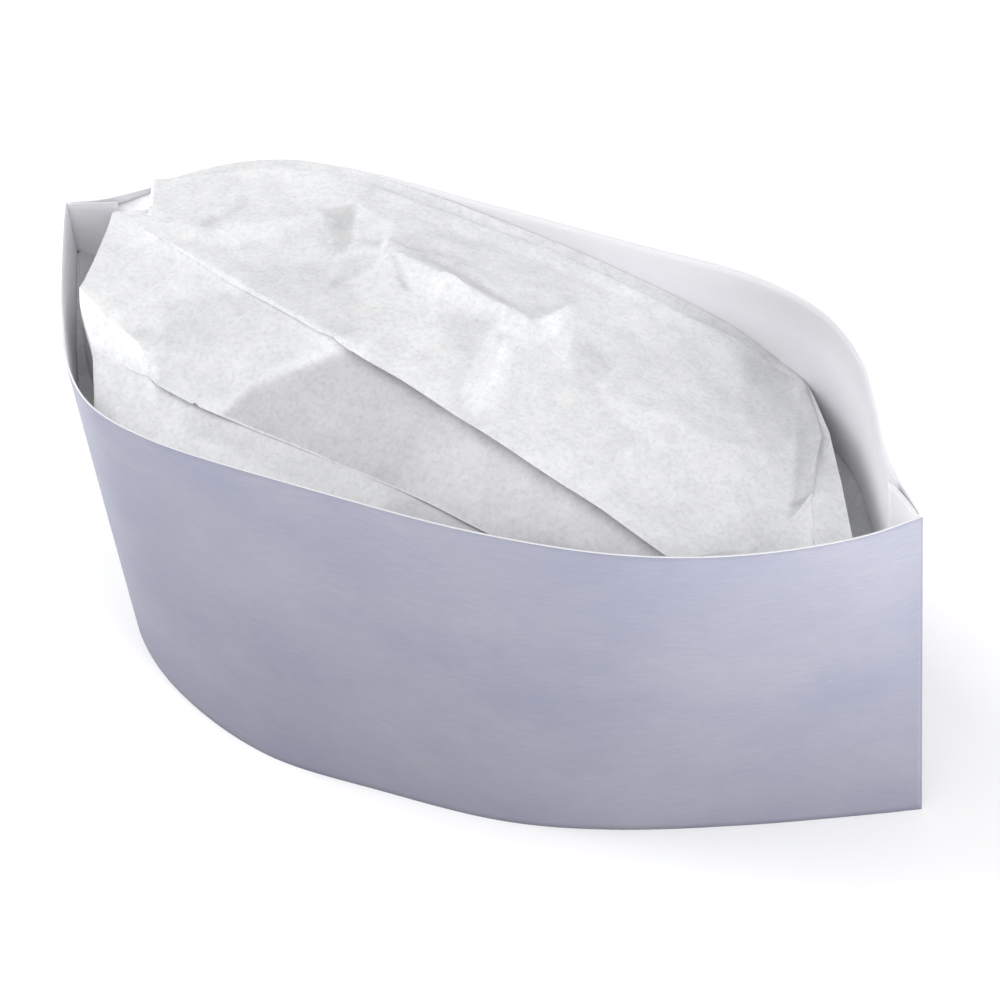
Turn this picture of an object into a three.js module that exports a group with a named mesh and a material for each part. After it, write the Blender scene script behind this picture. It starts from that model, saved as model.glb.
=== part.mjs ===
// Disposable paper forage cap, standing open on its foot.
// Millimetres, +Z up. The band's long axis is X, and the foot of the band lies on Z = 0.
import * as THREE from 'three';

// Driving sizes
const BAND_HEIGHT = 95;
const PAPER = 1; // every wall, thickened from real paper
const GAP = 0.3; // clearance between pieces that lie against each other
const SIDE_STEPS = 52; // facets along each side of the band
const LEVELS = 6; // facets up the band
const LAP_STEPS = 2; // facets of the near side folded inside the far side, about 11 mm
const HEM_HEIGHT = 52; // lower edge of the crown inside the band
const PLEAT_DEPTH = 3; // how far the pleat's edge stands above the strip below it
const SECTION_STEPS = 3; // crown facets between two sections
const FOLD_STEPS = [2, 1, 2, 2, 3, 3]; // crown facets between each two folds, from the near side
const HEM_STEPS = 2; // crown facets down the hem
const SEAT = PAPER + GAP; // from a side's outer face to what lies inside it

// Plan of the band, looking down: each side from the left seam to the right one, at foot and rim.
const PLAN = {
  near: {
    rim: [
      [-120.5, 0], [-112, -11.5], [-93.5, -34], [-80, -48.3], [-65, -57.8], [-44, -60.7],
      [-4, -56.7], [35, -51], [70, -41], [92.6, -29], [112, -12], [120.5, 0],
    ],
    foot: [
      [-122, 0], [-113, -11], [-96, -31], [-78, -47.5], [-57, -57.6], [-25, -63.3],
      [6, -59], [37, -52.4], [63, -41], [87.4, -25.7], [110.5, -9], [122, 0],
    ],
  },
  far: {
    rim: [
      [-120.5, 0], [-113, 5.5], [-105, 15], [-92, 32], [-80, 40.5], [-61, 45.5], [-27, 49],
      [14, 52], [50, 54.3], [70, 50], [85, 39.5], [94, 28.8], [106, 13], [120.5, 0],
    ],
    foot: [
      [-122, 0], [-111, 8], [-94, 25], [-78, 37], [-50, 47.5], [-5, 55],
      [28, 57.5], [55, 54], [77, 43.5], [95, 25], [112, 7], [122, 0],
    ],
  },
};

// The crown from its left end to its right end, a row for each section across it.
// near and far: distance along that side and height where the crown meets it.
// pleat, shoulder, ridge and middle: x, y, z of the folds between them.
const CROWN = [
  { near: [79, 85], pleat: [-77, -41, 94], shoulder: [-88, -31, 101], ridge: [-98, -2, 100],
    middle: [-101, 7, 99.5], far: [25, 98] },
  { near: [84, 86], pleat: [-58, -43, 93.5], shoulder: [-64, -38, 97], ridge: [-69, -9, 100],
    middle: [-78, 13, 99], far: [55, 98.5] },
  { near: [102, 86], pleat: [-43.5, -43.5, 92], shoulder: [-50, -32, 97], ridge: [-59, -11, 100],
    middle: [-43, 13, 97], far: [73, 96] },
  { near: [113, 86], pleat: [-34, -42, 90.5], shoulder: [-36, -27, 96.5], ridge: [-23, -17, 100],
    middle: [-31, 16, 99.5], far: [105, 89.5] },
  { near: [139, 85], pleat: [-5, -41.5, 89], shoulder: [-3, -31, 94.5], ridge: [-2, -20, 99],
    middle: [-14, 13, 100.5], far: [123, 86] },
  { near: [154, 84.5], pleat: [11, -41, 88], shoulder: [16, -33.5, 93], ridge: [23, -24.5, 98],
    middle: [8, 12, 99], far: [144, 82] },
  { near: [184, 83], pleat: [39, -42, 86], shoulder: [46, -37, 89], ridge: [57, -28, 92],
    middle: [25, 7, 96.5], far: [161, 79] },
  { near: [206, 81], pleat: [62, -37, 84], shoulder: [68, -34, 85], ridge: [75, -29.5, 86],
    middle: [42, 5.5, 93], far: [180, 74] },
  { near: [232, 79], pleat: [85, -27.5, 81], shoulder: [87, -24, 82], ridge: [88, -15, 83.5],
    middle: [63.5, 5.5, 88], far: [195, 71.5] },
  { near: [254, 77], pleat: [100, -15, 79], shoulder: [98, -8, 82], ridge: [90.5, 4, 83],
    middle: [84, 20, 82], far: [201.5, 70.5] },
  { near: [263, 74], pleat: [106, -8.5, 75.5], shoulder: [102.5, 2.5, 78], ridge: [91, 18, 78],
    middle: [80, 32.5, 77], far: [204, 69.5] },
];

const SIDES = {};
for (const [side, levels] of Object.entries(PLAN)) {
  const curve = (points) =>
    new THREE.CatmullRomCurve3(points.map(([x, y]) => new THREE.Vector3(x, y, 0)));
  SIDES[side] = {
    rim: curve(levels.rim),
    foot: curve(levels.foot),
    inward: side === 'near' ? 1 : -1, // which way inward lies from the direction of travel
  };
}

// The point of a side at a share of its length, at height z, set in from its outer face.
function sidePoint(side, share, z, inset) {
  const { rim, foot, inward } = SIDES[side];
  const level = z / BAND_HEIGHT;
  const at = foot.getPointAt(share).lerp(rim.getPointAt(share), level);
  const along = foot.getTangentAt(share).lerp(rim.getTangentAt(share), level).normalize();
  at.x -= along.y * inset * inward;
  at.y += along.x * inset * inward;
  at.z = z;
  return at;
}

// Where the crown lies against a side, at a distance along it.
function seatPoint(side, distance, z) {
  return sidePoint(side, distance / SIDES[side].rim.getLength(), z, SEAT);
}

// A closed solid from rows of points: a sheet and its other face, joined round the edge.
// front and back are two equal lists of points, faces the triangles of the front,
// and edge the loop of points round it, with the sheet on its left seen from the front.
function sheetSolid(front, back, faces, edge) {
  const shift = front.length;
  const index = [];
  for (const [a, b, c] of faces) {
    index.push(a, b, c, a + shift, c + shift, b + shift);
  }
  edge.forEach((a, i) => {
    const b = edge[(i + 1) % edge.length];
    index.push(a, a + shift, b + shift, a, b + shift, b);
  });
  const geometry = new THREE.BufferGeometry().setFromPoints([...front, ...back]);
  geometry.setIndex(index);
  geometry.computeVertexNormals();
  return geometry;
}

// The triangles of a grid of points given row by row, clockwise where rows run up and points right.
function gridFaces(rows, count) {
  const faces = [];
  for (let i = 0; i + 1 < rows; i += 1) {
    for (let j = 0; j + 1 < count; j += 1) {
      const a = i * count + j;
      const b = a + count;
      faces.push([a, b, b + 1], [a, b + 1, a + 1]);
    }
  }
  return faces;
}

// The loop of points round such a grid, in the same direction as its triangles.
function gridEdge(rows, count) {
  const edge = [];
  const last = rows - 1;
  for (let i = 0; i < last; i += 1) edge.push(i * count);
  for (let j = 0; j < count - 1; j += 1) edge.push(last * count + j);
  for (let i = last; i > 0; i -= 1) edge.push(i * count + count - 1);
  for (let j = count - 1; j > 0; j -= 1) edge.push(j);
  return edge;
}

// A plan line moved sideways by a distance, with mitred corners.
function offsetLine(points, distance) {
  return points.map((point, i) => {
    const before = points[Math.max(i - 1, 0)];
    const after = points[Math.min(i + 1, points.length - 1)];
    const first = point.clone().sub(i === 0 ? after : before).multiplyScalar(i === 0 ? -1 : 1);
    const last = after === point ? first : after.clone().sub(point);
    first.normalize();
    last.normalize();
    const normal = new THREE.Vector3(-first.y - last.y, first.x + last.x, 0).normalize();
    const mitre = distance / (normal.y * first.x - normal.x * first.y);
    return point.clone().addScaledVector(normal, mitre);
  });
}

// A standing wall through the plan lines that lineAt gives from foot to rim, thickened inwards.
function wall(lineAt, inward) {
  const lines = [];
  for (let k = 0; k <= LEVELS; k += 1) lines.push(lineAt((BAND_HEIGHT * k) / LEVELS));
  const outer = lines.flat();
  const inner = lines.flatMap((line) => offsetLine(line, PAPER * inward));
  const count = lines[0].length;
  const faces = gridFaces(lines.length, count);
  const edge = gridEdge(lines.length, count);
  if (inward > 0) {
    faces.forEach((face) => face.reverse());
    edge.reverse();
  }
  return sheetSolid(outer, inner, faces, edge);
}

// The near side runs on round both seams and ends in a lap that lies inside the far side.
function nearSide() {
  const lineAt = (z) => {
    const lap = (i) => sidePoint('far', i / SIDE_STEPS, z, SEAT);
    const points = [];
    for (let i = LAP_STEPS; i >= 0; i -= 1) points.push(lap(i));
    for (let i = 1; i < SIDE_STEPS; i += 1) points.push(sidePoint('near', i / SIDE_STEPS, z, 0));
    for (let i = 0; i <= LAP_STEPS; i += 1) points.push(lap(SIDE_STEPS - i));
    return points;
  };
  return wall(lineAt, SIDES.near.inward);
}

function farSide() {
  const lineAt = (z) => {
    const points = [];
    for (let i = 0; i <= SIDE_STEPS; i += 1) points.push(sidePoint('far', i / SIDE_STEPS, z, 0));
    return points;
  };
  return wall(lineAt, SIDES.far.inward);
}

// The folds across one section of the crown, from the near side to the far one.
function crownFolds({ near, pleat, shoulder, ridge, middle, far }) {
  const edge = new THREE.Vector3(...pleat);
  return [
    seatPoint('near', ...near),
    edge.clone().setZ(edge.z - PLEAT_DEPTH),
    edge,
    new THREE.Vector3(...shoulder),
    new THREE.Vector3(...ridge),
    new THREE.Vector3(...middle),
    seatPoint('far', ...far),
  ];
}

function mix(a, b, share) {
  return a.map((value, i) => value + (b[i] - value) * share);
}

function mixSections(a, b, share) {
  return Object.fromEntries(Object.keys(a).map((key) => [key, mix(a[key], b[key], share)]));
}

// Rows of points over the crown's top: one row for each facet edge along its length.
function crownTop() {
  const rows = [];
  const last = CROWN.length - 1;
  for (let i = 0; i <= last * SECTION_STEPS; i += 1) {
    const section = Math.min(Math.floor(i / SECTION_STEPS), last - 1);
    const share = i / SECTION_STEPS - section;
    const folds = crownFolds(mixSections(CROWN[section], CROWN[section + 1], share));
    const row = [folds[0]];
    for (let k = 1; k < folds.length; k += 1) {
      const steps = FOLD_STEPS[k - 1];
      for (let j = 1; j <= steps; j += 1) row.push(folds[k - 1].clone().lerp(folds[k], j / steps));
    }
    rows.push(row);
  }
  return rows;
}

// Each point moved to the sheet's other face, so that every facet keeps its thickness.
function innerFace(points, faces) {
  const normals = points.map(() => []);
  const triangle = new THREE.Triangle();
  for (const face of faces) {
    triangle.set(...face.map((i) => points[i]));
    const normal = triangle.getNormal(new THREE.Vector3());
    face.forEach((i) => normals[i].push(normal));
  }
  const blend = 0.02; // keeps the sum solvable where all facets are in one plane
  return points.map((point, i) => {
    const sum = new THREE.Vector3();
    const m = [blend, 0, 0, 0, blend, 0, 0, 0, blend];
    for (const n of normals[i]) {
      sum.add(n);
      const v = n.toArray();
      for (let r = 0; r < 3; r += 1) {
        for (let c = 0; c < 3; c += 1) m[3 * r + c] += v[r] * v[c];
      }
    }
    const move = sum.applyMatrix3(new THREE.Matrix3().set(...m).invert());
    return point.clone().addScaledVector(move, -PAPER);
  });
}

// The tissue crown: a pleated top whose edge turns down into a hem all round.
function crown() {
  const rows = crownTop();
  const count = rows[0].length;
  const points = rows.flat();
  const faces = gridFaces(rows.length, count);

  // The loop round the top, anticlockwise seen from above: near side, right end, far side, left end.
  const loop = [];
  const lastRow = rows.length - 1;
  const lastFold = count - 1;
  const distanceAt = (side, place) => {
    const before = CROWN[Math.floor(place)][side];
    const after = CROWN[Math.ceil(place)][side];
    return mix(before, after, place % 1)[0];
  };
  const addSide = (side, i, j) => {
    const distance = distanceAt(side, i / SECTION_STEPS);
    loop.push({ top: i * count + j, hem: (z) => seatPoint(side, distance, z) });
  };
  const addEnd = (i, j) => {
    const top = points[i * count + j];
    loop.push({ top: i * count + j, hem: (z) => top.clone().setZ(z) });
  };
  for (let i = 0; i <= lastRow; i += 1) addSide('near', i, 0);
  for (let j = 1; j < lastFold; j += 1) addEnd(lastRow, j);
  for (let i = lastRow; i >= 0; i -= 1) addSide('far', i, lastFold);
  for (let j = lastFold - 1; j > 0; j -= 1) addEnd(0, j);

  let ring = loop.map(({ top }) => top);
  for (let step = 1; step <= HEM_STEPS; step += 1) {
    const start = points.length;
    for (const { top, hem } of loop) {
      const z = points[top].z + (HEM_HEIGHT - points[top].z) * (step / HEM_STEPS);
      points.push(hem(z));
    }
    const lower = loop.map((_, i) => start + i);
    ring.forEach((a, i) => {
      const next = (i + 1) % ring.length;
      faces.push([a, lower[i], lower[next]], [a, lower[next], ring[next]]);
    });
    ring = lower;
  }
  return sheetSolid(points, innerFace(points, faces), faces, ring);
}

function piece(name, geometry, color, roughness) {
  const material = new THREE.MeshStandardMaterial({ color, roughness, metalness: 0 });
  const mesh = new THREE.Mesh(geometry, material);
  mesh.name = name;
  return mesh;
}

const BAND_COLOR = 0xb4b8c8;
const BAND_ROUGHNESS = 0.75;
const TISSUE_COLOR = 0xeceded;
const TISSUE_ROUGHNESS = 0.9;

const cap = new THREE.Group();
cap.add(
  piece('near_side_panel', nearSide(), BAND_COLOR, BAND_ROUGHNESS),
  piece('far_side_panel', farSide(), BAND_COLOR, BAND_ROUGHNESS),
  piece('crown', crown(), TISSUE_COLOR, TISSUE_ROUGHNESS),
);

// The origin lies under the middle of the cap's box.
const middle = new THREE.Box3().setFromObject(cap).getCenter(new THREE.Vector3());
cap.position.set(-middle.x, -middle.y, 0);

export default cap;
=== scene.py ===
import math

import bpy
import numpy as np
from mathutils import Matrix, Vector


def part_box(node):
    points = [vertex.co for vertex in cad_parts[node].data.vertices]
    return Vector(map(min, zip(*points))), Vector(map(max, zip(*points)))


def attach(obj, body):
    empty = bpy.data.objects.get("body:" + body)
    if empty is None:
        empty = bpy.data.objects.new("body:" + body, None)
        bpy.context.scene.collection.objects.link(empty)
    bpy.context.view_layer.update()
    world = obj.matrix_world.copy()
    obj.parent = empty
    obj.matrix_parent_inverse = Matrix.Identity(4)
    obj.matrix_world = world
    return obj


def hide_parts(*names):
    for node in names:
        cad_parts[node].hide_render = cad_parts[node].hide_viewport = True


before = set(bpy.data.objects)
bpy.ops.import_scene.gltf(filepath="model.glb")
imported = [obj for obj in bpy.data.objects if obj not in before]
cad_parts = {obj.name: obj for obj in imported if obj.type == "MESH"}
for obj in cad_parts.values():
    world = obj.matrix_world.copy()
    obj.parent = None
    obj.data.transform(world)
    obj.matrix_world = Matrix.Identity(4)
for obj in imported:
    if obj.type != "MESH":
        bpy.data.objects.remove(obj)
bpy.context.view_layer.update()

MM = 0.001

# Sizes in millimetres, in the frame of the band: X runs from the left seam to the right one,
# and the two seams lie on Y = 0.
BAND_HEIGHT = 95.0
BAND_PAPER = 0.45
TISSUE = 0.14
LAP_SHARE = 0.046  # share of a side that its glue lap covers
LAP_SEAT = 0.62  # from a side's outer face to the lap inside it
LAP_LIFT = 1.8  # how far the lap's free edge stands off the far side
HEM_HEIGHT = 50.0
SEAT = 0.12  # from a side's inner face to the tissue glued inside it
SEAM_SETBACK = 0.004  # share of the far side that stays short of each seam
LEFT_POCKET_FLOOR = 74.0  # height at which the tissue closes the pocket at the left seam
RIGHT_POCKET_FLOOR = 56.0

# Each side's plan at its rim and at its foot, from the left seam to the right one.
PLAN = {
    "near": {
        "rim": [
            (-120.5, 0), (-112, -11.5), (-93.5, -34), (-80, -48.3), (-65, -57.8), (-44, -60.7),
            (-4, -56.7), (35, -51), (70, -41), (92.6, -29), (112, -12), (120.5, 0),
        ],
        "foot": [
            (-122, 0), (-113, -11), (-96, -31), (-78, -47.5), (-57, -57.6), (-25, -63.3),
            (6, -59), (37, -52.4), (63, -41), (87.4, -25.7), (110.5, -9), (122, 0),
        ],
    },
    "far": {
        "rim": [
            (-120.5, 0), (-113, 5.5), (-105, 15), (-92, 32), (-80, 40.5), (-61, 45.5), (-27, 49),
            (14, 52), (50, 54.3), (70, 50), (85, 39.5), (94, 28.8), (106, 13), (120.5, 0),
        ],
        "foot": [
            (-122, 0), (-111, 8), (-94, 25), (-78, 37), (-50, 47.5), (-5, 55),
            (28, 57.5), (55, 54), (77, 43.5), (95, 25), (112, 7), (122, 0),
        ],
    },
}

# The crown from its left end to its right end, a row for each section across it.
# near and far: distance along that side and height where the tissue meets it.
# tuck: how far the tissue runs back under the pleat's, the ridge's and the brink's edge. Below 0 the
# fold is flat, and the sheet has a point that far short of it.
# pleat, shoulder, ridge, middle and brink: x, y, z of the folds from the near side to the far side.
FLAT = -0.4
CROWN = [
    {"near": (76, 82), "far": (16, 92.8), "tuck": (FLAT, FLAT, FLAT),
     "pleat": (-79, -40, 88), "shoulder": (-91, -30, 91), "ridge": (-105, -3, 90),
     "middle": (-107, 3, 91), "brink": (-110, 6.5, 92.8)},
    {"near": (78.5, 84.5), "far": (23.5, 93.8), "tuck": (FLAT, FLAT, FLAT),
     "pleat": (-78, -41, 92), "shoulder": (-89, -31, 98), "ridge": (-102.3, -3.3, 97),
     "middle": (-95.5, 3, 95.5), "brink": (-104.3, 14, 93.8)},
    {"near": (79, 85), "far": (25, 96.5), "tuck": (FLAT, FLAT, FLAT),
     "pleat": (-77, -41, 94), "shoulder": (-88, -31, 101), "ridge": (-101, -3, 100),
     "middle": (-93.8, 2.5, 99.8), "brink": (-103, 15, 97.5)},
    {"near": (84, 86), "far": (55, 95.6), "tuck": (0.5, 0.4, FLAT),
     "pleat": (-58, -43, 93.5), "shoulder": (-64, -38, 97), "ridge": (-69, -9, 100),
     "middle": (-78, 13, 99), "brink": (-82, 33.5, 96.4)},
    {"near": (102, 86), "far": (73, 95.4), "tuck": (7, 0.7, 0.5),
     "pleat": (-43.5, -43.5, 92), "shoulder": (-50, -32, 97), "ridge": (-59, -11, 100),
     "middle": (-43, 13, 97.5), "brink": (-65, 42, 95.4)},
    {"near": (113, 86), "far": (105, 93), "tuck": (8, 1.0, 2.5),
     "pleat": (-34, -42, 90.5), "shoulder": (-36, -27, 96.5), "ridge": (-23, -17, 100),
     "middle": (-31, 16, 99.5), "brink": (-32, 43.5, 92.5)},
    {"near": (139, 85), "far": (123, 90.5), "tuck": (8, 5, 3),
     "pleat": (-5, -41.5, 89), "shoulder": (-3, -31, 94), "ridge": (-2, -20, 99.5),
     "middle": (-14, 13, 100.5), "brink": (-15, 45, 90.2)},
    {"near": (154, 84.5), "far": (144, 87), "tuck": (6, 6, 3),
     "pleat": (11, -41, 88), "shoulder": (16, -33.5, 92), "ridge": (23, -24.5, 98),
     "middle": (8, 12, 99), "brink": (6, 47.5, 86.5)},
    {"near": (184, 83), "far": (161, 83), "tuck": (4, 5, 3),
     "pleat": (39, -42, 86), "shoulder": (46, -37, 88), "ridge": (57, -28, 92),
     "middle": (25, 7, 96.5), "brink": (23, 49, 82.5)},
    {"near": (206, 81), "far": (180, 77.5), "tuck": (2, 2, 2),
     "pleat": (62, -37, 84), "shoulder": (68, -34, 84.5), "ridge": (75, -29.5, 86.5),
     "middle": (42, 5.5, 93), "brink": (42, 51, 76.8)},
    {"near": (232, 79), "far": (195, 72), "tuck": (-1.5, -2, FLAT),
     "pleat": (85, -27.5, 81), "shoulder": (87, -24, 82), "ridge": (88, -15, 83.5),
     "middle": (63.5, 5.5, 88), "brink": (56, 50.3, 72.5)},
    {"near": (254, 77), "far": (201.5, 71), "tuck": (FLAT, FLAT, FLAT),
     "pleat": (100, -15, 79), "shoulder": (98, -8, 81), "ridge": (90.5, 4, 82.5),
     "middle": (84, 20, 81), "brink": (64, 49.3, 71.5)},
    {"near": (263, 74), "far": (204, 70), "tuck": (FLAT, FLAT, FLAT),
     "pleat": (106, -8.5, 75.5), "shoulder": (102.5, 2.5, 76.5), "ridge": (91, 18, 77),
     "middle": (80, 32.5, 76), "brink": (66.5, 48.5, 70.5)},
]

CURVE_STEPS = 80  # between two points of a plan


def centripetal(points, count):
    """Points evenly spaced along a centripetal Catmull-Rom curve through the given ones."""
    p = [np.array(q, float) for q in points]
    p = [2 * p[0] - p[1], *p, 2 * p[-1] - p[-2]]
    fine = []
    for i in range(1, len(p) - 2):
        a, b, c, d = p[i - 1:i + 3]
        step = [np.linalg.norm(v) ** 0.5 for v in (b - a, c - b, d - c)]
        start = ((b - a) / step[0] - (c - a) / (step[0] + step[1]) + (c - b) / step[1]) * step[1]
        end = ((c - b) / step[1] - (d - b) / (step[1] + step[2]) + (d - c) / step[2]) * step[1]
        for t in np.linspace(0, 1, CURVE_STEPS, endpoint=False):
            fine.append(b + start * t + (3 * (c - b) - 2 * start - end) * t**2
                        + (2 * (b - c) + start + end) * t**3)
    fine = np.array([*fine, p[-2]])
    along = np.r_[0, np.cumsum(np.linalg.norm(np.diff(fine, axis=0), axis=1))]
    at = np.linspace(0, along[-1], count)
    return np.stack([np.interp(at, along, fine[:, k]) for k in (0, 1)], axis=1), along[-1]


FINE = 600  # points along each curve
TANGENT_REACH = 2  # points to each side that give a curve's direction
CURVES = {}
LENGTHS = {}
for side, levels in PLAN.items():
    for level, points in levels.items():
        CURVES[side, level], LENGTHS[side, level] = centripetal(points, FINE)

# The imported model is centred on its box, and this is how far the band moved in Y for that.
SHIFT_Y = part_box("near_side_panel")[0][1] / MM - CURVES["near", "foot"][:, 1].min()


def side_point(side, share, z, inset):
    """Points of a side at shares of its length and heights, set in from its outer face."""
    share, z, inset = np.broadcast_arrays(np.asarray(share, float), z, inset)
    level = np.asarray(z, float) / BAND_HEIGHT
    foot, rim = CURVES[side, "foot"], CURVES[side, "rim"]
    at_index = share * (FINE - 1)
    index = np.arange(FINE)

    def read(curve, where):
        return np.stack([np.interp(where, index, curve[:, k]) for k in (0, 1)], axis=-1)

    def mixed(where):
        low, high = read(foot, where), read(rim, where)
        return low + (high - low) * level[..., None]

    here = mixed(at_index)
    before = np.clip(at_index - TANGENT_REACH, 0, FINE - 1)
    after = np.clip(at_index + TANGENT_REACH, 0, FINE - 1)
    ahead = mixed(after) - mixed(before)
    ahead /= np.linalg.norm(ahead, axis=-1, keepdims=True)
    inward = 1.0 if side == "near" else -1.0
    normal = np.stack([-ahead[..., 1], ahead[..., 0]], axis=-1) * inward
    here = here + normal * np.asarray(inset, float)[..., None]
    return np.concatenate([here, np.asarray(z, float)[..., None]], axis=-1)


def noise(points, scale, seed):
    """Smooth seeded noise of about -1 to 1 at points in millimetres, from sums of sines."""
    octaves, waves, spread = 2, 5, 2.2
    draw = np.random.default_rng(seed)
    total = np.zeros(points.shape[:-1])
    for octave in range(octaves):
        for _ in range(waves):
            direction = draw.normal(size=points.shape[-1])
            direction /= np.linalg.norm(direction)
            phase = draw.uniform(0, 2 * math.pi)
            wave = 2 * math.pi * 2**octave / scale * draw.uniform(0.7, 1.3)
            total += np.sin(points @ direction * wave + phase) / (spread * 2**octave)
    return total / spread


def grid_quads(rows, columns):
    """The faces of a grid of points."""
    index = np.arange(rows * columns).reshape(rows, columns)
    corners = [index[:-1, :-1], index[1:, :-1], index[1:, 1:], index[:-1, 1:]]
    return np.stack(corners, axis=-1).reshape(-1, 4)


def make_mesh(name, points, quads, materials):
    """An object from points in millimetres in the band's frame."""
    moved = (points.reshape(-1, 3) + (0, SHIFT_Y, 0)) * MM
    mesh = bpy.data.meshes.new(name)
    mesh.from_pydata(moved.tolist(), [], quads.tolist())
    mesh.validate()
    for material in materials:
        mesh.materials.append(material)
    mesh.polygons.foreach_set("use_smooth", np.ones(len(mesh.polygons), bool))
    piece = bpy.data.objects.new(name, mesh)
    bpy.context.collection.objects.link(piece)
    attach(piece, "root")
    return piece


def thicken(piece, thickness, back_material):
    """Gives a sheet its paper thickness behind its front face, with the back's material inside."""
    solid = piece.modifiers.new("paper", "SOLIDIFY")
    solid.thickness = thickness * MM
    solid.offset = -1
    solid.use_even_offset = False
    solid.material_offset = back_material
    solid.material_offset_rim = back_material
    bpy.context.view_layer.objects.active = piece
    with bpy.context.temp_override(object=piece):
        bpy.ops.object.modifier_apply(modifier=solid.name)


# Camera, at the photograph's angle

AZIMUTH, ELEVATION, ROLL = 38.27, 43.08, -6.8  # degrees
FOCAL = 2.7924  # in picture widths
DISTANCE = 680.4
TARGET = (6.1, 1.1, BAND_HEIGHT / 2)
PICTURE = 1000  # pixels across the photograph


def camera_axes():
    """The camera's right, up and back directions."""
    azimuth, elevation, roll = (math.radians(v) for v in (AZIMUTH, ELEVATION, ROLL))
    back = np.array([math.sin(azimuth) * math.cos(elevation),
                     -math.cos(azimuth) * math.cos(elevation), math.sin(elevation)])
    level = np.array([math.cos(azimuth), math.sin(azimuth), 0.0])
    up = np.cross(back, level)
    right = level * math.cos(roll) + up * math.sin(roll)
    return right, up * math.cos(roll) - level * math.sin(roll), back


def photo_places(points):
    """Where points in millimetres lie in the photograph, in pixels."""
    right, up, back = camera_axes()
    away = points - (np.array(TARGET) + back * DISTANCE)
    depth = -(away @ back)
    across = PICTURE * (0.5 + FOCAL * (away @ right) / depth)
    down = PICTURE * (0.5 - FOCAL * (away @ up) / depth)
    return np.stack([across, down], axis=-1)


def camera():
    """The camera that took the photograph."""
    right, up, back = (Vector(axis) for axis in camera_axes())
    data = bpy.data.cameras.new("camera")
    data.sensor_width = 36
    data.lens = FOCAL * data.sensor_width
    data.clip_start, data.clip_end = 0.01, 20
    holder = bpy.data.objects.new("camera", data)
    target = Vector((TARGET[0], TARGET[1] + SHIFT_Y, TARGET[2])) * MM
    turn = Matrix((right, up, back)).transposed()
    holder.matrix_world = Matrix.Translation(target + back * DISTANCE * MM) @ turn.to_4x4()
    bpy.context.collection.objects.link(holder)
    bpy.context.scene.camera = holder


# Materials

def new_material(name):
    """A material with its nodes and links."""
    material = bpy.data.materials.new(name)
    material.use_nodes = True
    return material, material.node_tree.nodes, material.node_tree.links


def texture(nodes, links, scale, stretch=(1, 1, 1), detail=5, rough=0.6, distortion=0):
    """Noise in the object's own metres. stretch is how many times finer it is along each axis."""
    place = nodes.new("ShaderNodeTexCoord")
    mapping = nodes.new("ShaderNodeMapping")
    mapping.inputs["Scale"].default_value = stretch
    grain = nodes.new("ShaderNodeTexNoise")
    grain.inputs["Scale"].default_value = scale
    grain.inputs["Detail"].default_value = detail
    grain.inputs["Roughness"].default_value = rough
    grain.inputs["Distortion"].default_value = distortion
    links.new(place.outputs["Object"], mapping.inputs["Vector"])
    links.new(mapping.outputs["Vector"], grain.inputs["Vector"])
    return grain.outputs["Fac"]


def ramp(nodes, links, value, stops):
    """The colour for a value, from places and their colours."""
    node = nodes.new("ShaderNodeValToRGB")
    while len(node.color_ramp.elements) < len(stops):
        node.color_ramp.elements.new(0.5)
    for element, (place, colour) in zip(node.color_ramp.elements, stops):
        element.position = place
        element.color = (*colour, 1)
    links.new(value, node.inputs["Fac"])
    return node.outputs["Color"]


def multiply(nodes, links, first, second):
    """One colour times another."""
    node = nodes.new("ShaderNodeMix")
    node.data_type = "RGBA"
    node.blend_type = "MULTIPLY"
    node.inputs["Factor"].default_value = 1
    links.new(first, node.inputs["A"])
    links.new(second, node.inputs["B"])
    return node.outputs["Result"]


def bump(nodes, links, height, strength, distance, normal=None):
    """The normal of a surface roughened by a height, over another roughness if one is given."""
    node = nodes.new("ShaderNodeBump")
    node.inputs["Strength"].default_value = strength
    node.inputs["Distance"].default_value = distance
    links.new(height, node.inputs["Height"])
    if normal is not None:
        links.new(normal, node.inputs["Normal"])
    return node.outputs["Normal"]


def height_shade(nodes, links, low, high, low_light, high_light):
    """Painted shade: a grey that goes from low_light at a low height to high_light at a high one."""
    place = nodes.new("ShaderNodeTexCoord")
    split = nodes.new("ShaderNodeSeparateXYZ")
    links.new(place.outputs["Object"], split.inputs["Vector"])
    rise = nodes.new("ShaderNodeMapRange")
    rise.inputs["From Min"].default_value = low * MM
    rise.inputs["From Max"].default_value = high * MM
    rise.inputs["To Min"].default_value = low_light
    rise.inputs["To Max"].default_value = high_light
    links.new(split.outputs["Z"], rise.inputs["Value"])
    return rise.outputs["Result"]


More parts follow.
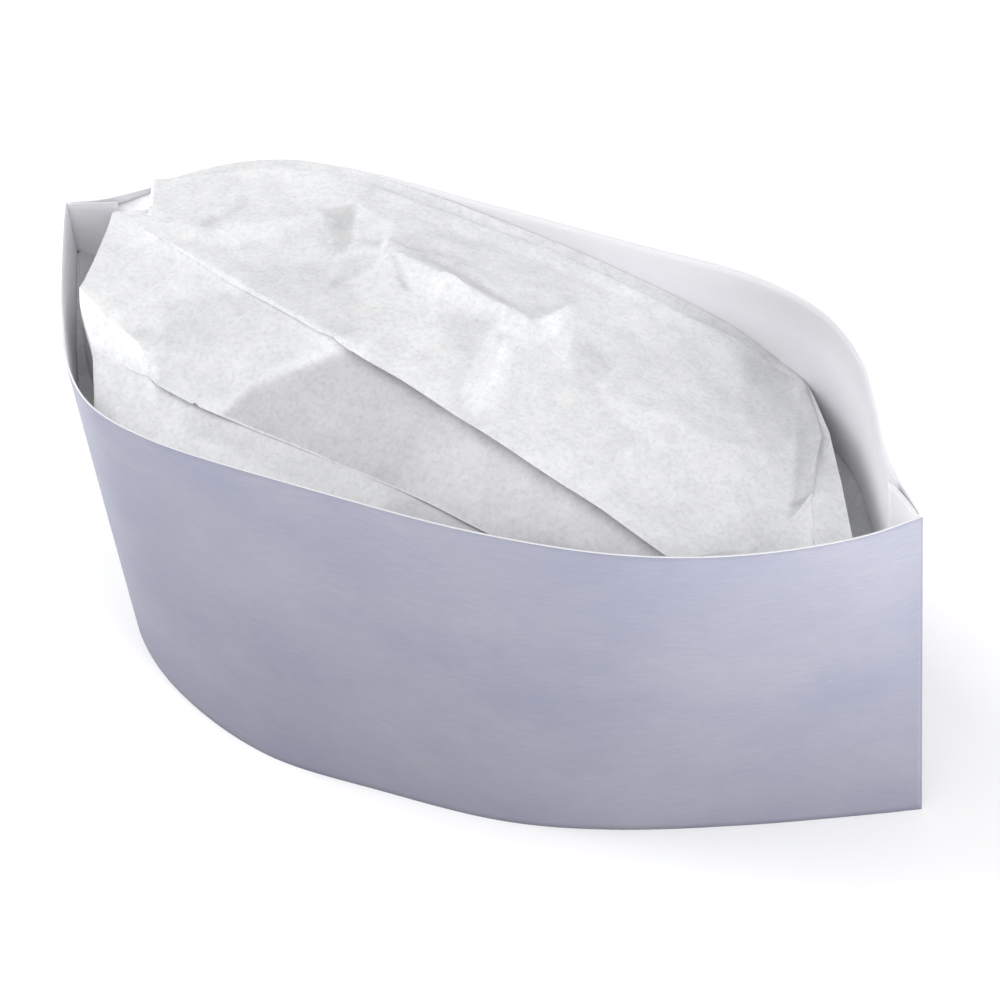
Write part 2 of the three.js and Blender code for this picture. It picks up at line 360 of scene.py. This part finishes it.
def paper_material(name, dark, light, cloudiness, heights):
    """Smooth machine-made paper, with fine streaks along the band, bluer, darker clouds and painted
    shade by height.
    """
    material, nodes, links = new_material(name)
    shader = nodes["Principled BSDF"]
    shader.inputs["Roughness"].default_value = 0.72
    shader.inputs["Specular IOR Level"].default_value = 0.3
    fibre = texture(nodes, links, 210, stretch=(1, 1, 8), rough=0.7)
    cloud = texture(nodes, links, 20, stretch=(1, 1, 1.6), detail=4)
    base = ramp(nodes, links, fibre, [(0.3, dark), (0.7, light)])
    cloud_dark = (1 - cloudiness, 1 - cloudiness, 1 - cloudiness / 2)
    tint = ramp(nodes, links, cloud, [(0.35, cloud_dark), (0.65, (1, 1, 0.985))])
    colour = multiply(nodes, links, base, tint)
    shade = height_shade(nodes, links, *heights)
    links.new(multiply(nodes, links, colour, shade), shader.inputs["Base Color"])
    tooth = texture(nodes, links, 1500, detail=2)
    lay = texture(nodes, links, 160, stretch=(1, 1, 7))
    first = bump(nodes, links, tooth, strength=0.12, distance=0.0002)
    second = bump(nodes, links, lay, strength=0.08, distance=0.0005, normal=first)
    links.new(second, shader.inputs["Normal"])
    return material


def tissue_material():
    """Thin tissue: cloudy fibre with fine specks, lighter or darker by painted light and shade."""
    material, nodes, links = new_material("crown_tissue")
    shader = nodes["Principled BSDF"]
    shader.inputs["Roughness"].default_value = 0.85
    shader.inputs["Specular IOR Level"].default_value = 0.2
    cloud = texture(nodes, links, 150, rough=0.7)
    speck = texture(nodes, links, 850, detail=3, rough=0.7)
    base = ramp(nodes, links, cloud, [(0.32, (0.66, 0.663, 0.674)), (0.64, (0.75, 0.753, 0.76))])
    dots = ramp(nodes, links, speck, [(0.34, (0.885, 0.89, 0.90)), (0.55, (1, 1, 1))])
    # The points' colour attribute holds painted light and shade.
    painted_light_and_shade = nodes.new("ShaderNodeAttribute")
    painted_light_and_shade.attribute_name = "painted_light_and_shade"
    colour = multiply(nodes, links, base, dots)
    links.new(multiply(nodes, links, colour, painted_light_and_shade.outputs["Color"]), shader.inputs["Base Color"])
    crinkle = texture(nodes, links, 260, rough=0.65, distortion=0.6)
    fibre = texture(nodes, links, 1600, detail=2)
    first = bump(nodes, links, crinkle, strength=0.35, distance=0.0006)
    second = bump(nodes, links, fibre, strength=0.25, distance=0.0002, normal=first)
    links.new(second, shader.inputs["Normal"])
    return material


RIM_SHADE = 12.0  # from the rim down
# Painted shade: the outside darkens towards the foot, and the inside a little near the rim: from
# height, to height, and how light the paper is painted at each.
OUTSIDE_PAINTED_SHADE = (0, BAND_HEIGHT, 0.67, 1)
INSIDE_PAINTED_SHADE = (BAND_HEIGHT - RIM_SHADE, BAND_HEIGHT, 1, 0.81)
# The outside's dark blue-grey is partly the paper's pale blue-grey tint and partly painted shade on
# the band's sides.
BAND_OUTSIDE = paper_material(
    "band_outside", (0.29, 0.297, 0.362), (0.325, 0.332, 0.397), 0.12, OUTSIDE_PAINTED_SHADE)
BAND_INSIDE = paper_material(
    "band_inside", (0.90, 0.90, 0.935), (0.93, 0.93, 0.955), 0.02, INSIDE_PAINTED_SHADE)
TISSUE_PAPER = tissue_material()

# Band

LEVELS = 48
COLUMNS = 260
LAP_COLUMNS = 12
WAVE_SEEDS = {"near": 11, "far": 12}


def paper_wave(side, share, z):
    """The slight bow and ripple of a standing paper strip, in millimetres inwards."""
    depth, length, upright, fade = 0.28, 95, 0.35, 0.05
    place = np.stack([share * LENGTHS[side, "rim"], z * upright], axis=-1)
    ends = np.clip(np.minimum(share, 1 - share) / fade, 0, 1)
    return depth * (1 + noise(place, length, WAVE_SEEDS[side])) * ends


def band_side(side):
    """One side of the band, seen from outside, with the near side's laps round both seams."""
    setback = SEAM_SETBACK if side == "far" else 0
    share = np.linspace(setback, 1 - setback, COLUMNS)
    z = np.linspace(0, BAND_HEIGHT, LEVELS)
    grid_share, grid_z = np.meshgrid(share, z)
    points = side_point(side, grid_share, grid_z, paper_wave(side, grid_share, grid_z))
    if side == "near":
        lap = np.linspace(LAP_SHARE, 0, LAP_COLUMNS, endpoint=False)
        lap_share, lap_z = np.meshgrid(lap, z)
        lift = LAP_SEAT + LAP_LIFT * (lap_share / LAP_SHARE) ** 2
        left = side_point("far", lap_share, lap_z, lift)
        right = side_point("far", 1 - lap_share[:, ::-1], lap_z, lift[:, ::-1])
        points = np.concatenate([left, points, right], axis=1)
    rows, columns = points.shape[:2]
    quads = grid_quads(rows, columns)
    if side == "near":
        quads = quads[:, ::-1]
    piece = make_mesh(f"{side}_side_paper", points, quads, [BAND_OUTSIDE, BAND_INSIDE])
    thicken(piece, BAND_PAPER, 1)
    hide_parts(f"{side}_side_panel")


# Crown

SECTION_STEPS = 22
HEM_STEPS = 8
SHARP_ANGLE = 50  # degrees, from which a crease is sharp
# The folds across a section after the near edge, and the steps of the grid up to each.
FOLDS = {
    "pleat_under": 10, "pleat": 6, "shoulder": 20, "ridge_under": 8, "ridge": 5,
    "middle": 38, "brink": 38, "brink_under": 4, "far": 6,
}
SPANS = list(FOLDS)
INNER_FOLDS = ("pleat", "shoulder", "ridge", "middle", "brink")
FOLD_DROP = {"pleat": 1.7, "ridge": 1.3, "brink": 1.7}  # from a fold's edge to the layer under it
FULL_TUCK = 2.5  # a tuck from which the layer under a fold lies at the full drop


def seat_point(side, distance, z):
    """Where the tissue lies against a side's inner face, at a distance along it."""
    share = np.asarray(distance, float) / LENGTHS[side, "rim"]
    wave = paper_wave(side, share, np.asarray(z, float))
    return side_point(side, share, z, wave + BAND_PAPER + SEAT)


def section_at(place):
    """The crown's row at a place between 0 and the last section."""
    first = min(int(place), len(CROWN) - 2)
    share = place - first
    a, b = CROWN[first], CROWN[first + 1]
    return {
        key: np.array(a[key], float) * (1 - share) + np.array(b[key], float) * share
        for key in a
    }


def under_fold(edge, over, under, tuck, drop):
    """The point that a fold's hidden layer turns back at, or a point just short of a flat fold."""
    towards = over if tuck > 0 else under
    way = towards - edge
    point = edge + way / np.linalg.norm(way) * abs(tuck)
    point[2] -= drop * np.clip(tuck / FULL_TUCK, 0, 1)
    return point


def folds_at(place):
    """The folds across one section, from the near side to the far side."""
    row = section_at(place)
    pleat, shoulder, ridge, middle, brink = (row[key] for key in INNER_FOLDS)
    near, far = (seat_point(side, *row[side]) for side in ("near", "far"))
    tuck = row["tuck"]
    pleat_under = under_fold(pleat, shoulder, near, tuck[0], FOLD_DROP["pleat"])
    ridge_under = under_fold(ridge, middle, shoulder, tuck[1], FOLD_DROP["ridge"])
    brink_under = under_fold(brink, middle, far, tuck[2], FOLD_DROP["brink"])
    return [near, pleat_under, pleat, shoulder, ridge_under, ridge, middle, brink, brink_under, far]


def crown_grid():
    """Points over the crown's top, a row for each step along it, and the span of each column."""
    rows = []
    last = len(CROWN) - 1
    for i in range(last * SECTION_STEPS + 1):
        folds = folds_at(i / SECTION_STEPS)
        row = [folds[0]]
        for start, end, steps in zip(folds, folds[1:], FOLDS.values()):
            row += [start + (end - start) * j / steps for j in range(1, steps + 1)]
        rows.append(row)
    spans = [SPANS[0]]
    for name, steps in FOLDS.items():
        spans += [name] * steps
    return np.array(rows), np.array(spans)


# Listed creases, in the photograph's pixels: the line with its height in millimetres at each corner,
# then the width of the flank on the left and on the right as one walks along it.
CREASES = [
    ([(107, 213, 0.6), (203, 265, 1.2), (335, 342, 1.0)], 40, 3),
    ([(199, 230, 0), (215, 214, -1.2), (252, 192, 0)], 9, 9),
    ([(129, 219, 0), (223, 233, 0.9), (325, 213, 0.9), (350, 204, 0)], 14, 14),
    ([(341, 256, 0.4), (355, 242, 1.0), (355, 204, 0.8), (357, 190, 0)], 10, 26),
    ([(341, 256, 0), (328, 235, -0.6), (325, 212, -0.3)], 12, 8),
    ([(330, 258, 0), (388, 253, 1.8), (458, 288, 2.4), (504, 313, 2.2), (535, 326, 1.4),
      (572, 308, 1.2), (578, 323, 1.3), (566, 364, 0)], 14, 18),
    ([(394, 221, 0), (390, 250, 0.9)], 10, 10),
    ([(392, 248, 0.6), (453, 262, 1.0), (500, 290, 0.8), (512, 308, 0)], 9, 6),
    ([(389, 257, -0.4), (402, 282, -0.9), (413, 300, 0)], 9, 10),
    ([(413, 300, 0), (446, 285, 1.2), (458, 288, 0.8)], 6, 8),
    ([(504, 316, 0), (500, 350, 1.3), (479, 420, 0)], 14, 26),
    ([(535, 326, 0.3), (552, 352, 0.9), (566, 364, 0.5)], 5, 10),
    ([(566, 364, 0), (590, 380, -0.9), (620, 392, 0)], 16, 14),
    ([(640, 380, 0), (670, 410, 0.9), (704, 440, 0.9), (764, 476, 0)], 26, 20),
    ([(702, 330, 0), (690, 360, 0.9), (650, 420, 0)], 24, 20),
    ([(590, 420, 0), (630, 450, 0.7), (690, 500, 0)], 22, 20),
    ([(720, 345, 0), (745, 372, 0.9), (770, 402, 0)], 16, 16),
    ([(600, 300, 0), (640, 340, -0.7), (682, 362, 0)], 18, 20),
    ([(540, 380, 0), (600, 440, -0.8), (640, 500, 0)], 24, 20),
    ([(81, 290, 0.8), (119, 313, 1.2), (152, 370, 1.4), (140, 425, 0)], 8, 14),
    ([(134, 321, 0), (148, 330, -1.0), (160, 342, 0)], 6, 5),
    ([(129, 378, 0), (113, 416, 0.9)], 6, 6),
    ([(335, 344, 0.8), (277, 380, 1.2), (203, 405, 0.4)], 34, 16),
    ([(223, 396, 0), (262, 398, 0.7), (300, 421, 0.4)], 12, 4),
    ([(150, 365, 0), (200, 352, 0.6), (262, 345, 0)], 14, 16),
    ([(196, 405, 0.9), (196, 421, 0)], 3, 4),
    ([(806, 387, 0.6), (822, 440, 1.5), (811, 506, 1.8), (814, 552, 1.6)], 3, 13),
    ([(151, 212, 1.0), (155, 180, 1.0)], 2, 14),
    ([(380, 190, 0.9), (560, 256, 1.1), (717, 331, 1.1), (759, 352, 0.6)], 2, 12),
]

# Painted light and shade, listed: how light the tissue is painted there against its middle tone, how
# soft the edge is, and the corners of the convex patch in the photograph's pixels.
TOP_PAINTED_LIGHT_AND_SHADE = [
    (1.06, 30, [(90, 150), (330, 150), (350, 205), (190, 255), (90, 225)]),
    (0.89, 4, [(199, 228), (212, 230), (252, 197), (243, 192)]),
    (0.975, 5, [(126, 216), (224, 234), (240, 262), (205, 262)]),
    (0.83, 3, [(321, 212), (355, 204), (354, 243), (342, 256), (332, 239)]),
    (1.10, 3, [(356, 204), (392, 224), (388, 241), (355, 243)]),
    (0.88, 5, [(343, 260), (389, 254), (372, 266), (326, 291)]),
    (0.86, 3, [(389, 255), (397, 260), (416, 296), (402, 286)]),
    (0.90, 4, [(399, 248), (435, 252), (470, 271), (512, 309), (499, 307)]),
    (1.04, 3, [(394, 221), (404, 236), (392, 251), (386, 240)]),
    (1.11, 3, [(537, 326), (570, 309), (575, 329), (565, 362), (551, 353)]),
    (0.90, 5, [(576, 330), (566, 365), (593, 384), (612, 370), (596, 345)]),
    (1.09, 5, [(504, 316), (510, 341), (479, 420), (463, 405), (463, 378), (494, 329)]),
    (0.93, 7, [(440, 310), (500, 318), (468, 350), (440, 350)]),
    (0.95, 10, [(540, 380), (575, 368), (640, 440), (600, 470), (545, 430)]),
    (1.03, 12, [(652, 398), (690, 380), (740, 420), (700, 450)]),
    (1.04, 9, [(700, 340), (738, 352), (720, 384), (704, 372)]),
    (0.93, 8, [(745, 352), (790, 372), (800, 420), (770, 470), (742, 400)]),
    (0.83, 6, [(800, 388), (810, 388), (828, 440), (814, 506), (792, 506)]),
    (0.83, 6, [(792, 500), (814, 500), (816, 560), (776, 560)]),
    (0.94, 14, [(235, 262), (330, 262), (400, 330), (345, 344), (250, 290)]),
    (0.965, 14, [(400, 180), (620, 270), (600, 310), (420, 230)]),
    (0.95, 40, [(480, 300), (800, 370), (815, 560), (640, 580), (430, 420)]),
]
# Painted light on the gusset and the end wall at the right end.
END_PAINTED_LIGHT = [
    (1.30, 3, [(807, 383), (840, 446), (824, 441)]),
    (1.30, 3, [(824, 441), (840, 446), (866, 560), (815, 560), (812, 506)]),
]
# Painted shade on the pleat's panel and beside the left end's facets, with painted light on the
# panel's right part and the left end's facet.
PANEL_PAINTED_LIGHT_AND_SHADE = [
    ((0.70, 0.69, 0.71), 8, [(330, 330), (690, 550), (676, 620), (540, 620), (196, 414), (250, 392)]),
    ((1.16, 1.16, 1.16), 40, [(450, 380), (700, 550), (686, 640), (540, 640), (400, 520)]),
    (1.05, 6, [(78, 288), (100, 305), (150, 372), (140, 412), (112, 424), (84, 365)]),
    (0.92, 4, [(134, 320), (149, 323), (161, 342), (144, 356)]),
    (0.90, 14, [(150, 385), (165, 300), (260, 290), (310, 340), (250, 396), (200, 404)]),
]
# Painted shade on the strip under the pleat's edge.
STRIP_PAINTED_SHADE = [
    ((0.86, 0.86, 0.87), 8, [(196, 400), (237, 410), (530, 520), (530, 600), (190, 430)]),
    ((0.85, 0.85, 0.86), 30, [(400, 470), (560, 530), (560, 600), (380, 520)]),
]
# The painted light and shade in each span between two folds.
PAINTED_LIGHT_AND_SHADE = {
    "pleat_under": STRIP_PAINTED_SHADE, "shoulder": PANEL_PAINTED_LIGHT_AND_SHADE + END_PAINTED_LIGHT,
    "ridge_under": PANEL_PAINTED_LIGHT_AND_SHADE + END_PAINTED_LIGHT, "ridge": END_PAINTED_LIGHT,
    "middle": TOP_PAINTED_LIGHT_AND_SHADE + END_PAINTED_LIGHT, "brink": TOP_PAINTED_LIGHT_AND_SHADE + END_PAINTED_LIGHT, "hem": END_PAINTED_LIGHT,
    # painted shade on the far strip under the brink
    "far": [((0.92, 0.92, 0.925), 10, [(370, 150), (800, 330), (760, 380), (370, 210)])],
}
LEFT_END_PAINTED_LIGHT = 1.12  # painted light on the crown's left end
END_SECTIONS = 2  # that this painted light spans
# The creases grow to their full height over these: a share of the last section, and columns from the
# near and the far edge.
END_FADE = 0.4
NEAR_FADE = 10
FAR_FADE = 16
CREASE_SCALE = 1.2
CRUMPLE_SEED = 7
CRUMPLE_COUNT = 130
# Creases by chance: ranges of the middle, of half the length and of a flank's width, then the mean and
# the spread of the angle in radians and of the height.
CRUMPLE_X = (-105, 105)
CRUMPLE_Y = (-50, 52)
CRUMPLE_HALF = (5, 24)
CRUMPLE_FLANK = (4, 15)
CRUMPLE_ANGLE = (-0.15, 0.9)
CRUMPLE_HEIGHT = (0, 0.34)


def crease_height(places, line, left_width, right_width):
    """Height at places of a straight-sided crease along a line of corners with heights."""
    best = np.zeros(len(places))
    for (*start, low), (*end, high) in zip(line, line[1:]):
        way = np.subtract(end, start).astype(float)
        away = places - start
        share = np.clip(away @ way / (way @ way), 0, 1)
        distance = np.linalg.norm(away - share[:, None] * way, axis=1)
        on_left = way[0] * away[:, 1] - way[1] * away[:, 0] < 0
        flank = np.clip(1 - distance / np.where(on_left, left_width, right_width), 0, 1)
        height = (low + (high - low) * share) * flank
        best = np.where(np.abs(height) > np.abs(best), height, best)
    return best


def crumple(points):
    """Height in millimetres of all the creases at points of the crown, listed and by chance."""
    photo = photo_places(points)
    total = np.zeros(len(points))
    for line, left_width, right_width in CREASES:
        total += CREASE_SCALE * crease_height(photo, line, left_width, right_width)
    draw = np.random.default_rng(CRUMPLE_SEED)
    for _ in range(CRUMPLE_COUNT):
        middle = np.array([draw.uniform(*CRUMPLE_X), draw.uniform(*CRUMPLE_Y)])
        angle = draw.normal(*CRUMPLE_ANGLE)
        half = draw.uniform(*CRUMPLE_HALF)
        way = np.array([math.cos(angle), math.sin(angle)]) * half
        height = draw.normal(*CRUMPLE_HEIGHT)
        left_width, right_width = draw.uniform(*CRUMPLE_FLANK, 2)
        line = [(*(middle - way), 0), (*middle, height), (*(middle + way), 0)]
        total += crease_height(points[:, :2], line, left_width, right_width)
    return total


def patch_weight(places, corners, soft):
    """1 inside a convex patch and 0 outside, with a soft edge."""
    corners = np.array(corners, float)
    after = np.roll(corners, -1, axis=0)
    ahead = after - corners
    turn = np.sign(np.sum(corners[:, 0] * after[:, 1] - corners[:, 1] * after[:, 0]))
    ahead /= np.linalg.norm(ahead, axis=1, keepdims=True)
    normals = np.stack([-ahead[:, 1], ahead[:, 0]], axis=1) * turn
    inside = np.einsum("pcd,cd->pc", places[:, None] - corners, normals).min(axis=1)
    return np.clip(inside / soft + 0.5, 0, 1)


def painted_light_and_shade_at(points, span_of):
    """Painted light and shade at each point of the crown's top, from the listed patches over it."""
    photo = photo_places(points)
    light = np.ones((len(points), 3))
    for span, painted_light_and_shade in PAINTED_LIGHT_AND_SHADE.items():
        chosen = span_of == span
        for tint, soft, corners in painted_light_and_shade:
            weight = patch_weight(photo[chosen], corners, soft)
            light[chosen] *= 1 + (np.array(tint) - 1) * weight[:, None]
    return light


def paint_light_and_shade(piece, light):
    """Writes the painted light and shade of the tissue at each point."""
    colours = np.ones((len(light), 4))
    colours[:, :3] = light
    layer = piece.data.color_attributes.new("painted_light_and_shade", "FLOAT_COLOR", "POINT")
    layer.data.foreach_set("color", colours.ravel())


# Pockets

POCKET_ACROSS = 60
POCKET_STEPS = 40
POCKET_RISE = 6.0  # from the crown's end to the seam
POCKET_RIPPLE = 0.8
RIPPLE_LENGTH = 30
POCKET_SEED = 21


def pocket_floor(name, row, floor, near_end, far_end):
    """The tissue that closes the pocket between the crown's end and a seam of the band.

    near_end and far_end are how far along each side it ends."""
    folds = np.array([
        seat_point("near", row["near"][0], floor),
        *[(*row[key][:2], floor) for key in INNER_FOLDS],
        seat_point("far", row["far"][0], floor),
    ])
    along = np.r_[0, np.cumsum(np.linalg.norm(np.diff(folds, axis=0), axis=1))]
    across = np.linspace(0, 1, POCKET_ACROSS)
    edge = np.stack([np.interp(across * along[-1], along, folds[:, k]) for k in range(3)], axis=1)
    rows = []
    for i in range(POCKET_STEPS + 1):
        way = i / POCKET_STEPS
        near = seat_point("near", row["near"][0] + (near_end - row["near"][0]) * way, floor)
        far = seat_point("far", row["far"][0] + (far_end - row["far"][0]) * way, floor)
        straight = near + (far - near) * across[:, None]
        bow = edge - (edge[0] + (edge[-1] - edge[0]) * across[:, None])
        points = straight + bow * (1 - way)
        ripple = POCKET_RIPPLE * noise(points[:, :2], RIPPLE_LENGTH, POCKET_SEED)
        points[:, 2] += POCKET_RISE * way + ripple * (1 - way)
        rows.append(points)
    quads = grid_quads(POCKET_STEPS + 1, POCKET_ACROSS)
    if near_end < row["near"][0]:
        quads = quads[:, ::-1]
    piece = make_mesh(name, np.array(rows), quads, [TISSUE_PAPER])
    paint_light_and_shade(piece, np.ones((len(piece.data.vertices), 3)))
    thicken(piece, TISSUE, 0)


# Crown's sheet, with its hem

def edge_places(rows, columns):
    """The points all round the edge of a grid: the kind of edge, the row and the column."""
    return [
        *[("near", i, 0) for i in range(rows)],
        *[("end", rows - 1, j) for j in range(1, columns - 1)],
        *[("far", i, columns - 1) for i in range(rows - 1, -1, -1)],
        *[("end", 0, j) for j in range(columns - 2, 0, -1)],
    ]


def hem_points(edge, tops):
    """Rings of points under the crown's edge, against the sides and straight down at the ends."""
    rings = []
    for step in range(1, HEM_STEPS + 1):
        ring = tops.copy()
        ring[:, 2] = tops[:, 2] + (HEM_HEIGHT - tops[:, 2]) * step / HEM_STEPS
        for k, (kind, i, _) in enumerate(edge):
            if kind != "end":
                distance = section_at(i / SECTION_STEPS)[kind][0]
                ring[k] = seat_point(kind, distance, ring[k, 2])
        rings.append(ring)
    return np.concatenate(rings)


def crown_sheet():
    """The crown's top, with its creases, and the hem that turns down all round it."""
    points, spans = crown_grid()
    rows, columns = points.shape[:2]
    flat = points.reshape(-1, 3)
    row_of = np.repeat(np.arange(rows), columns)
    column_of = np.tile(np.arange(columns), rows)
    # Painted light and shade on the top, and painted light on its left end.
    light = painted_light_and_shade_at(flat, np.tile(spans, rows))
    light[row_of < END_SECTIONS * SECTION_STEPS] *= LEFT_END_PAINTED_LIGHT

    # The creases start after the first section, and fade out at the glued edges and at the right end.
    from_start = row_of / SECTION_STEPS - 1
    from_end = (rows - 1 - row_of) / SECTION_STEPS / END_FADE
    from_edge = np.minimum(column_of / NEAR_FADE, (columns - 1 - column_of) / FAR_FADE)
    fade = np.clip(from_start, 0, 1) * np.clip(from_end, 0, 1) * np.clip(from_edge, 0, 1)
    flat[:, 2] += crumple(flat) * fade

    edge = edge_places(rows, columns)
    ring = np.array([i * columns + j for _, i, j in edge])
    hem = hem_points(edge, flat[ring])
    rings = [ring, *(np.arange(len(hem)).reshape(HEM_STEPS, -1) + len(flat))]
    quads = [grid_quads(rows, columns)]
    for upper, lower in zip(rings, rings[1:]):
        quads.append(np.stack([upper, lower, np.roll(lower, -1), np.roll(upper, -1)], axis=1))

    # Painted light on the hem at the right end.
    hem_light = painted_light_and_shade_at(hem, np.full(len(hem), "hem"))
    everything = np.concatenate([flat, hem])
    piece = make_mesh("crown_tissue", everything, np.concatenate(quads), [TISSUE_PAPER])
    paint_light_and_shade(piece, np.concatenate([light, hem_light]))
    thicken(piece, TISSUE, 0)
    piece.data.set_sharp_from_angle(angle=math.radians(SHARP_ANGLE))
    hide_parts("crown")


# Stage

def floor_stage():
    """A white floor under the cap."""
    material, nodes, _ = new_material("studio_floor")
    shader = nodes["Principled BSDF"]
    shader.inputs["Base Color"].default_value = (0.97, 0.97, 0.97, 1)
    shader.inputs["Roughness"].default_value = 0.9
    size = 4.0
    mesh = bpy.data.meshes.new("studio_floor")
    corners = [(-size, -size, 0), (size, -size, 0), (size, size, 0), (-size, size, 0)]
    mesh.from_pydata(corners, [], [(0, 1, 2, 3)])
    mesh.materials.append(material)
    piece = bpy.data.objects.new("studio_floor", mesh)
    bpy.context.collection.objects.link(piece)


LIGHT_TARGET = (0, 0, 0.06)
WORLD_STRENGTH = 0.6
# Name, place in metres, size in metres and power in watts.
LIGHTS = [
    ("left", (-1.0, 0.0, 0.9), 0.8, 9),
    ("right", (1.15, -0.15, 0.5), 0.8, 11),
    ("front", (0.45, -1.1, 0.8), 0.8, 1.8),
    ("low_left", (-1.2, -0.5, 0.12), 0.3, 12.5),
    ("low_right", (1.35, -0.4, 0.15), 0.3, 8),
]


def area_light(name, place, size, power):
    """A white square lamp that points at the cap."""
    lamp = bpy.data.lights.new(name, "AREA")
    lamp.shape = "SQUARE"
    lamp.size = size
    lamp.energy = power
    holder = bpy.data.objects.new(name, lamp)
    holder.location = place
    way = Vector(LIGHT_TARGET) - Vector(place)
    holder.rotation_euler = way.to_track_quat("-Z", "Y").to_euler()
    bpy.context.collection.objects.link(holder)


def lights():
    """A white surrounding and the studio's lamps."""
    world = bpy.data.worlds.new("studio")
    world.use_nodes = True
    background = world.node_tree.nodes["Background"]
    background.inputs["Color"].default_value = (1, 1, 1, 1)
    background.inputs["Strength"].default_value = WORLD_STRENGTH
    bpy.context.scene.world = world
    bpy.context.scene.view_settings.view_transform = "Standard"
    for name, place, size, power in LIGHTS:
        area_light(name, place, size, power)


camera()
floor_stage()
lights()
band_side("near")
band_side("far")
crown_sheet()
pocket_floor("left_pocket_tissue", section_at(0), LEFT_POCKET_FLOOR, near_end=2, far_end=2)
pocket_floor(
    "right_pocket_tissue", section_at(len(CROWN) - 1), RIGHT_POCKET_FLOOR, near_end=283, far_end=278)
